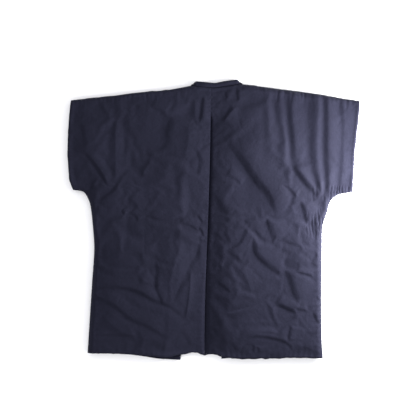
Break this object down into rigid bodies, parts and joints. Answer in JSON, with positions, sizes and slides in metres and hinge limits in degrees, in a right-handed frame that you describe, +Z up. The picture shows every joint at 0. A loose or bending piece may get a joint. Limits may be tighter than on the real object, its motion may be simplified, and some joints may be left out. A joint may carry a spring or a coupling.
{
  "type": "padded vest",
  "caption": "Padded cotton vest with cap sleeves and a plain neckband, laid flat with its back upwards; neck, hem and cuffs open.",
  "frame": {"origin": "middle of the outline in plan, on the surface that the vest lies on", "axes": "+Z up from the fronts to the back, +Y from the hem to the neck, +X towards the wearer's right"},
  "size_m": [0.768, 0.7414, 0.0305],
  "materials": {
    "body_cloth": "plain-woven navy cotton, matt with a faint sheen",
    "neckband_cloth": "the same navy cotton"
  },
  "bodies": {
    "root": {"back_left": "body_cloth", "back_right": "body_cloth", "front_left": "body_cloth", "front_right": "body_cloth", "neckband_left": "neckband_cloth", "neckband_right": "neckband_cloth"}
  },
  "joints": []
}
